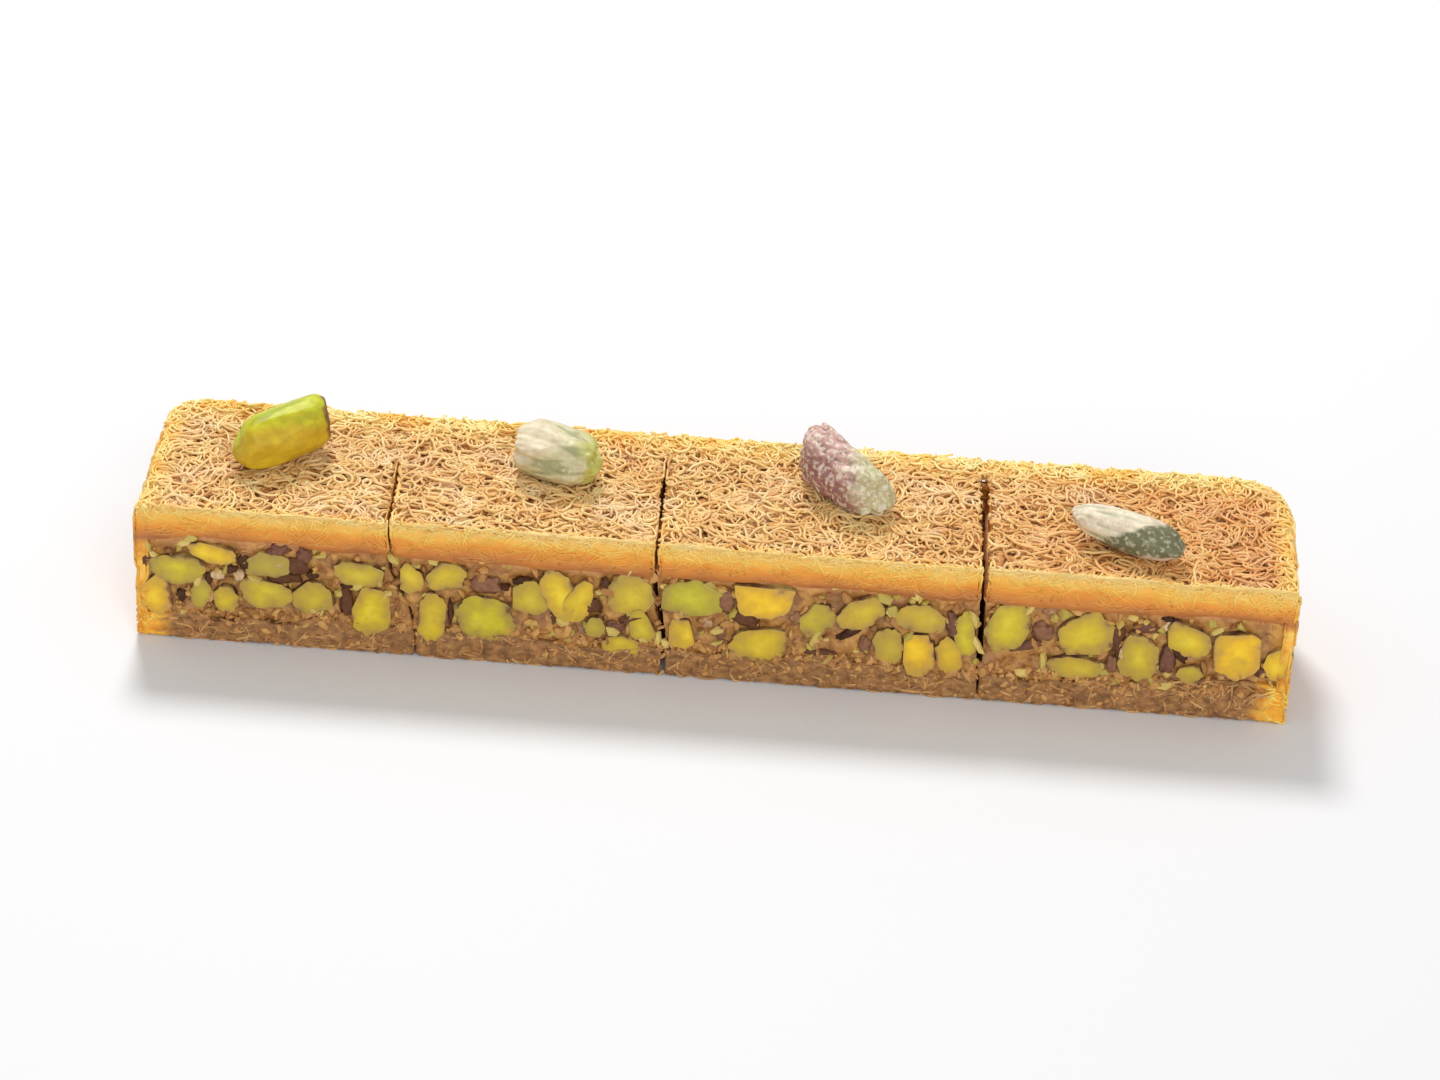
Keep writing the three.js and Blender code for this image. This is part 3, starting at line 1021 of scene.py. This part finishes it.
def nut_chunks(flesh, skin):
    """The chopped nuts as one piece, each with its own tone and its greying for the material, which is
    dullness and, on a nut in shadow, painted shade.
    """
    rng = random.Random(7)
    whole = bmesh.new()
    tone_layer = whole.verts.layers.float.new("tone")
    dull_and_shade_layer = whole.verts.layers.float.new("dull_and_shade")
    whole.verts.layers.float.new("depth")
    for nut in NUTS:
        before = len(whole.verts)
        data = bpy.data.meshes.new("nut")
        part = chopped_nut(nut, rng)
        part.to_mesh(data)
        part.free()
        whole.from_mesh(data)
        bpy.data.meshes.remove(data)
        whole.verts.ensure_lookup_table()
        for vertex in whole.verts[before:]:
            vertex[tone_layer] = nut.yellow
            vertex[dull_and_shade_layer] = nut.dull_and_shade
    piece = new_piece("chopped_nuts", whole, flesh, skin)
    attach(piece, "root")
    return piece


# Skin flakes and torn bits at the front: x, z, width, height and turn as for the nuts, and a
# tone from nearly black (0) over purple (0.5) to pale pink (1)
FLAKES = [
    (-81.0, 13.0, 1.6, 3.4, 0, 0.3), (-75.8, 7.3, 1.6, 1.8, 20, 0.1),
    (-70.6, 11.1, 2.0, 1.6, 0, 0.95), (-71.8, 10.6, 1.0, 2.4, 10, 0.15),
    (-67.6, 11.4, 1.4, 2.2, 0, 0.9), (-66.6, 13.6, 1.8, 2.6, 15, 0.1),
    (-68.6, 12.4, 2.4, 1.2, 20, 0.15), (-61.9, 16.2, 3.0, 1.8, 10, 0.5),
    (-59.2, 13.7, 3.4, 3.0, 30, 0.3), (-60.8, 11.6, 4.6, 2.0, 0, 0.25),
    (-57.0, 12.4, 1.6, 1.4, 0, 0.1), (-58.2, 15.6, 2.0, 2.6, 0, 0.5),
    (-61.6, 13.9, 2.0, 1.2, 10, 0.85), (-52.1, 8.4, 1.8, 6.0, 0, 0.3),
    (-51.8, 11.2, 2.2, 1.0, 15, 0.1), (-32.2, 12.9, 4.6, 2.8, 0, 0.6),
    (-27.2, 14.2, 2.8, 1.0, 5, 0.05), (-29.4, 12.9, 1.4, 1.2, 0, 0.1),
    (-16.8, 11.0, 2.4, 2.8, 0, 0.25), (-15.4, 14.4, 1.2, 2.8, 0, 0.2),
    (-11.4, 9.4, 3.4, 1.2, 20, 0.35), (-13.6, 7.6, 2.6, 1.8, 0, 0.5),
    (-37.2, 8.0, 0.8, 4.0, 0, 0.2), (-22.3, 8.6, 1.2, 2.4, 0, 0.35),
    (5.0, 10.5, 4.0, 2.2, -20, 0.3), (1.9, 13.4, 2.2, 4.0, 0, 0.6), (12.1, 11.4, 1.6, 2.2, 0, 0.7),
    (19.6, 9.7, 4.0, 1.2, 35, 0.05), (34.2, 12.3, 1.8, 3.8, 15, 0.5),
    (15.6, 6.0, 5.0, 1.0, 0, 0.35), (-0.6, 9.6, 1.6, 1.8, 10, 0.8), (1.4, 8.0, 1.4, 2.6, 0, 0.6),
    (24.6, 14.0, 0.8, 2.0, 0, 0.15), (22.0, 7.8, 1.6, 3.0, 0, 0.6), (44.8, 9.8, 4.4, 1.4, 20, 0.45),
    (57.4, 12.3, 1.8, 5.4, 0, 0.3), (57.0, 7.8, 1.6, 3.0, 0, 0.6), (58.3, 9.8, 0.9, 2.2, 0, 1.0),
    (64.9, 9.3, 2.2, 5.4, 0, 0.5), (66.2, 10.6, 1.2, 4.0, 40, 0.1), (61.6, 14.3, 4.0, 1.6, 0, 0.4),
    (64.3, 16.3, 1.8, 1.0, 0, 0.0), (64.4, 15.1, 1.4, 1.6, -30, 1.0),
    (78.6, 8.3, 2.6, 1.8, 10, 0.4), (47.4, 16.2, 2.2, 1.4, 10, 0.75),
    (46.8, 12.4, 3.0, 3.0, 0, 0.6),
]


def skin_flakes(material):
    """Torn skins pressed into the front of the filling."""
    rng = random.Random(21)
    whole = bmesh.new()
    tone_layer = whole.verts.layers.float.new("tone")
    for x, z, width, height, turn, tone in FLAKES:
        made = bmesh.ops.create_icosphere(whole, subdivisions=3, radius=1.0)["verts"]
        seed = Vector((rng.uniform(0, 50), 0, 0))
        for vertex in made:
            vertex.co *= 1 + lump_height(vertex.co, seed, (0.5, 1.5), (0.25, 4))
            vertex[tone_layer] = tone
        scale = Matrix.Diagonal((width / 2 * MM, 0.5 * MM, height / 2 * MM, 1))
        spin = Matrix.Rotation(math.radians(-turn), 4, "Y")
        place = Vector((x * MM, FRONT + rng.uniform(0.55, 0.8) * MM, z * MM))
        bmesh.ops.transform(whole, matrix=Matrix.Translation(place) @ spin @ scale, verts=made)
        for vertex in made:
            vertex.co.y = max(vertex.co.y, FRONT + 0.03 * MM)
    piece = new_piece("skin_flakes", whole, material)
    shade_smooth(piece)
    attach(piece, "root")
    return piece


# Where the middle of a nut ends, as the square of a share of its half size
NUT_MIDDLE = 0.66


def in_a_nut(x, z):
    """Whether a place on the front, in millimetres, lies well inside one of the nuts cut there."""
    return any(
        ((x - nut.x) / (nut.width / 2)) ** 2 + ((z - nut.z) / (nut.height / 2)) ** 2 < NUT_MIDDLE
        for nut in NUTS)


def crumb(whole, place, size, rng):
    """Adds one rough crumb and returns its vertices."""
    turn = Matrix.Rotation(rng.uniform(0, 2 * math.pi), 4, "Y")
    stretch = Matrix.Diagonal((rng.uniform(0.6, 1.7), 0.7, rng.uniform(0.5, 1.0), 1))
    made = bmesh.ops.create_icosphere(whole, subdivisions=1, radius=1.0)["verts"]
    seed = Vector((rng.uniform(0, 80), 0, 0))
    for vertex in made:
        vertex.co *= 1 + lump_height(vertex.co, seed, (0.6, 1.2))
    matrix = Matrix.Translation(place) @ turn @ Matrix.Scale(size, 4) @ stretch
    bmesh.ops.transform(whole, matrix=matrix, verts=made)
    return made


def crumbs(name, material, *, count, rows, sizes, depth, tones, seed, from_ends=1 * MM):
    """Crumbs scattered over the cut front between two heights, clear of the cut nuts."""
    rng = random.Random(seed)
    whole = bmesh.new()
    tone_layer = whole.verts.layers.float.new("tone")
    while count:
        x = rng.uniform(LEFT + from_ends, RIGHT - from_ends)
        z = rng.uniform(*rows)
        if in_a_nut(x / MM, z / MM):
            continue
        count -= 1
        place = Vector((x, FRONT + rng.uniform(*depth) * MM, z))
        tone = rng.uniform(*tones)
        for vertex in crumb(whole, place, rng.choice(sizes) * MM, rng):
            vertex.co.y = max(vertex.co.y, FRONT + 0.05 * MM)
            vertex.co.z = max(vertex.co.z, 0.03 * MM)
            vertex[tone_layer] = tone
    piece = new_piece(name, whole, material)
    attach(piece, "root")
    return piece


def scattered_crumbs(material):
    """Dough and nut crumbs in the hollows of the filling, and grains on the base."""
    filling_rows = (BASE_TOP - 0.5 * MM, CRUST_FOOT + 0.3 * MM)
    seam_rows = (BASE_TOP - 1.2 * MM, BASE_TOP + 1.0 * MM)
    base_rows = (0.3 * MM, BASE_TOP + 1.2 * MM)
    crumbs("filling_crumbs", material, count=420, rows=filling_rows,
           sizes=(0.35, 0.5, 0.7, 0.9), depth=(0.6, 1.2), tones=(0.1, 0.72), seed=11)
    crumbs("nut_crumbs", material, count=150, rows=filling_rows,
           sizes=(0.4, 0.6, 0.8, 1.1), depth=(0.5, 1.0), tones=(0.75, 1), seed=13)
    crumbs("seam_crumbs", material, count=260, rows=seam_rows,
           sizes=(0.4, 0.55, 0.8), depth=(0.5, 0.9), tones=(0.2, 0.62), seed=14, from_ends=3 * MM)
    crumbs("base_crumbs", material, count=1100, rows=base_rows,
           sizes=(0.2, 0.25, 0.35, 0.5), depth=(0.3, 0.6), tones=(0.1, 0.62), seed=12,
           from_ends=4.5 * MM)


# ---------------------------------------------------------------- kernels


@dataclass
class Kernel:
    """One whole kernel on top. Its turn is in degrees from +X. A fullness of 2 is an ellipsoid
    and more is boxier. Facets are (outward direction, reach as a share of the half size there).
    Relief is (height in millimetres, how much longer than wide its ridges are). Flank and tip
    are (direction, start, end) of where the skin changes colour, in half sizes. The colour in the
    grooves is painted shade; the side colour is partly the skin's own tone and partly painted highlight
    and shade."""

    slot: str
    turn: float
    fullness: float
    facets: tuple
    relief: tuple
    flank_tone_and_light: tuple
    tip: tuple
    skin: tuple
    groove_shade_color: tuple
    flank_tone_and_light_color: tuple
    tip_color: tuple
    speckle: tuple


KERNELS = {
    1: Kernel(
        slot="pistachio_green", turn=42, fullness=3.0,
        facets=(
            ((1, 0.3, 0.1), 0.9), ((-0.35, 0.35, 0.87), 0.86), ((0.3, -0.62, 0.72), 0.84),
            ((0.4, -0.9, -0.1), 0.95), ((-0.9, -0.1, 0.45), 0.92),
        ),
        relief=(0.1, 4), flank_tone_and_light=((0.35, -0.75, -0.3), -0.1, 0.6), tip=((1, 0.3, 0.1), 0.79, 0.87),
        skin=srgb(200, 206, 22), groove_shade_color=srgb(170, 182, 26), flank_tone_and_light_color=srgb(212, 180, 36),
        tip_color=srgb(136, 96, 40), speckle=(srgb(222, 214, 84), 0.66)),
    2: Kernel(
        slot="pistachio_pale", turn=-19, fullness=2.8,
        facets=(
            ((-1, 0.1, 0), 0.88), ((0.45, 0.1, 0.89), 0.88), ((-0.3, -0.3, 0.9), 0.93),
            ((0, -0.85, 0.5), 0.9), ((0.8, -0.4, 0.3), 0.92),
        ),
        relief=(0.28, 2.2), flank_tone_and_light=((-0.5, -0.2, 0.8), 0.4, 0.9), tip=((1, 0, 0), 0.45, 0.8),
        skin=srgb(214, 208, 164), groove_shade_color=srgb(172, 174, 130), flank_tone_and_light_color=srgb(232, 220, 188),
        tip_color=srgb(198, 198, 104), speckle=(srgb(238, 230, 202), 0.6)),
    3: Kernel(
        slot="pistachio_mauve", turn=-43, fullness=3.2,
        facets=(
            ((0.62, 0.42, 0.66), 0.64), ((-1, 0, 0), 0.93), ((0.5, -0.75, 0.3), 0.9),
            ((-0.2, -0.5, 0.85), 0.92),
        ),
        relief=(0.45, 1), flank_tone_and_light=((-0.6, -0.5, -0.5), 0.3, 0.9), tip=((0.9, 0, 0.1), -0.05, 0.6),
        skin=srgb(200, 158, 148), groove_shade_color=srgb(146, 100, 96), flank_tone_and_light_color=srgb(158, 108, 104),
        tip_color=srgb(200, 196, 148), speckle=(srgb(244, 234, 216), 0.47)),
    4: Kernel(
        slot="pistachio_dark", turn=-25, fullness=2.1,
        facets=(((0, 0.35, 0.93), 0.9), ((0, -0.75, 0.66), 0.88)),
        relief=(0.25, 3), flank_tone_and_light=((0.3, -0.6, -0.8), 0.02, 0.14), tip=((0, -0.3, -1), 0.78, 0.95),
        skin=srgb(240, 228, 200), groove_shade_color=srgb(186, 186, 152), flank_tone_and_light_color=srgb(118, 118, 84),
        tip_color=srgb(232, 206, 182), speckle=(srgb(206, 204, 178), 0.52)),
}


def kernel_material(number, kernel):
    """The skin of a kernel: painted shade in its grooves, its own tip and speckles, and on one side a
    colour that is partly the skin's own tone and partly painted light: a painted highlight on a side
    that faces up to the light, painted shade on one that turns down from it.
    """
    look = Shader(f"kernel skin {number}", roughness=0.5, specular=0.4)
    # Darker in the grooves: painted shade.
    body = look.mix(look.attribute("groove_shade"), kernel.skin, kernel.groove_shade_color)
    # Side colour: partly the skin's own tone, partly a painted highlight on an upper side and painted
    # shade on a lower side.
    body = look.mix(look.attribute("flank_tone_and_light"), body, kernel.flank_tone_and_light_color)
    body = look.mix(look.attribute("tip"), body, kernel.tip_color)
    color, rarity = kernel.speckle
    speckles = look.share(look.noise(0.7 * MM, detail=4.0), rarity, rarity + 0.12)
    mottled = look.mix(look.part_of(0.7, speckles), body, color)
    shade = look.share(look.noise(1.6 * MM, detail=4.0), 0.3, 0.7)
    look.color(look.mix(shade, look.mix(1.0, mottled, srgb(224, 216, 210), "MULTIPLY"), mottled))
    look.bump(look.noise(0.5 * MM), 0.08 * MM)
    look.glow_through(0.15, 0.6 * MM, (1.0, 0.8, 0.3))
    return look.material


class KernelBody:
    """Where one packed kernel lies, and its shape in shares of its half sizes."""

    def __init__(self, number, kernel, piece):
        self.turn = Matrix.Rotation(math.radians(kernel.turn), 3, "Z")
        low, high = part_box(f"topping_pistachio_{number}")
        self.middle = (Vector(low) + Vector(high)) / 2
        back = self.turn.transposed()
        places = [back @ (vertex.co - self.middle) for vertex in piece.data.vertices]
        self.half = Vector(max(abs(place[axis]) for place in places) for axis in range(3))

    def shares(self, place):
        local = self.turn.transposed() @ (place - self.middle)
        return Vector(local[axis] / self.half[axis] for axis in range(3))

    def place(self, shares):
        return self.middle + self.turn @ Vector(shares[axis] * self.half[axis] for axis in range(3))

    def direction(self, outward):
        """A world direction as seen among the shares, where every support is 1."""
        local = self.turn.transposed() @ Vector(outward)
        return Vector(local[axis] * self.half[axis] for axis in range(3)).normalized()


def fuller(shares, power):
    """Moves a place near the unit ball out to the boxier ball of a higher power."""
    length = shares.length
    spread = sum(abs(share / length) ** power for share in shares) ** (1 / power)
    return shares / spread


def kernel_shape(number, kernel, piece):
    """Gives a kernel its facets and ridges, and tells its material where they are."""
    body = KernelBody(number, kernel, piece)
    facets = [(body.direction(outward), reach) for outward, reach in kernel.facets]
    height, stretch = kernel.relief
    seed = Vector((10 * number, 3, 7))
    marks = {"groove_shade": [], "flank_tone_and_light": [], "tip": []}
    for vertex in piece.data.vertices:
        shares = fuller(body.shares(vertex.co), kernel.fullness)
        for outward, reach in facets:
            over = shares.dot(outward) - reach
            shares -= outward * 0.9 * max(over, 0.0)
        lumps = Vector((shares.x * 2.6 / stretch, shares.y * 2.6, shares.z * 2.6))
        ridge = noise.noise(lumps + seed) + 0.5 * noise.noise(lumps * 2.3 + seed)
        vertex.co = body.place(shares * (1 + height * ridge / 4))
        wander = 0.25 * noise.noise(shares * 3 + seed)
        # Where the ridges dip, for the painted shade in the grooves.
        marks["groove_shade"].append(smoothstep(0.05, 0.5, -ridge))
        for name, (outward, start, end) in (("flank_tone_and_light", kernel.flank_tone_and_light), ("tip", kernel.tip)):
            spread = wander * min(1.0, (end - start) / 0.3)
            marks[name].append(smoothstep(start, end, shares.dot(body.direction(outward)) + spread))
    for name, values in marks.items():
        piece.data.attributes.new(name, "FLOAT", "POINT").data.foreach_set("value", values)
    highest = max(vertex.co.z for vertex in piece.data.vertices)
    sink = max(0.0, highest - SUMMIT + 0.02 * MM)
    piece.data.transform(Matrix.Translation((0, 0, -sink)))


def kernel(number):
    kind = KERNELS[number]
    node = f"topping_pistachio_{number}"
    piece = new_piece(f"kernel_{number}", cad_copy(node), kernel_material(number, kind))
    fine = piece.modifiers.new("round", "SUBSURF")
    fine.levels = fine.render_levels = 3
    bake_modifiers(piece)
    kernel_shape(number, kind, piece)
    shade_smooth(piece)
    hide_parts(node)
    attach(piece, "root")
    return piece


# ---------------------------------------------------------------- studio


def floor():
    mesh = bmesh.new()
    bmesh.ops.create_grid(mesh, x_segments=1, y_segments=1, size=3.0)
    look = Shader("pale floor", roughness=0.6, specular=0.2)
    look.surface.inputs["Base Color"].default_value = FLOOR_GREY
    piece = new_piece("floor", mesh, look.material)


def area_light(name, place, aim, size, power, color=(1, 1, 1)):
    light = bpy.data.lights.new(name, "AREA")
    light.shape = "DISK"
    light.size = size
    light.energy = power
    light.color = color
    lamp = bpy.data.objects.new(name, light)
    bpy.context.scene.collection.objects.link(lamp)
    lamp.location = place
    lamp.rotation_euler = (Vector(aim) - Vector(place)).to_track_quat("-Z", "Y").to_euler()


FLOOR_GREY = (0.76, 0.76, 0.77, 1)
ROOM_LIGHT = 0.56

CAMERA_PLACE = Vector((22.2, -542.7, 363.9)) * MM
CAMERA_AIM = Vector((0, 0, 14)) * MM
CAMERA_ROLL = math.radians(3.15)
CAMERA_LENS = 112


def camera():
    data = bpy.data.cameras.new("camera")
    data.lens = CAMERA_LENS
    data.sensor_width = 36
    data.clip_start = 0.01
    eye = bpy.data.objects.new("camera", data)
    bpy.context.scene.collection.objects.link(eye)
    aim = (CAMERA_AIM - CAMERA_PLACE).to_track_quat("-Z", "Y").to_matrix().to_4x4()
    roll = Matrix.Rotation(CAMERA_ROLL, 4, "Z")
    eye.matrix_world = Matrix.Translation(CAMERA_PLACE) @ aim @ roll
    bpy.context.scene.camera = eye


def studio():
    world = bpy.data.worlds.new("soft room")
    world.use_nodes = True
    background = world.node_tree.nodes["Background"]
    background.inputs["Color"].default_value = (1, 1, 1, 1)
    background.inputs["Strength"].default_value = ROOM_LIGHT
    bpy.context.scene.world = world
    bpy.context.scene.view_settings.view_transform = "Standard"
    floor()
    area_light("key from behind", (-0.15, 0.5, 0.7), (0, 0, 0.01), 0.22, 5.4)
    area_light("front fill", (0.2, -0.8, 0.5), (0, 0, 0.01), 0.6, 3.4)


# ---------------------------------------------------------------- the strip

looks = {
    "strands": strand_material(),
    "gap": crust_gap_material(),
    "cut crust": cut_crust_material(),
    "base": base_material(),
    "syrup crumb": syrup_crumb_material(),
}

for slice_number in SLICES:
    crust(slice_number, looks["gap"], looks["cut crust"])
    base(slice_number, looks["base"])
    filling(slice_number, looks["syrup crumb"])
    dress_slice(slice_number, looks)
    kernel(slice_number)

nut_chunks(nut_flesh_material(), nut_skin_material())
skin_flakes(flake_material())
scattered_crumbs(crumb_material())

camera()
studio()
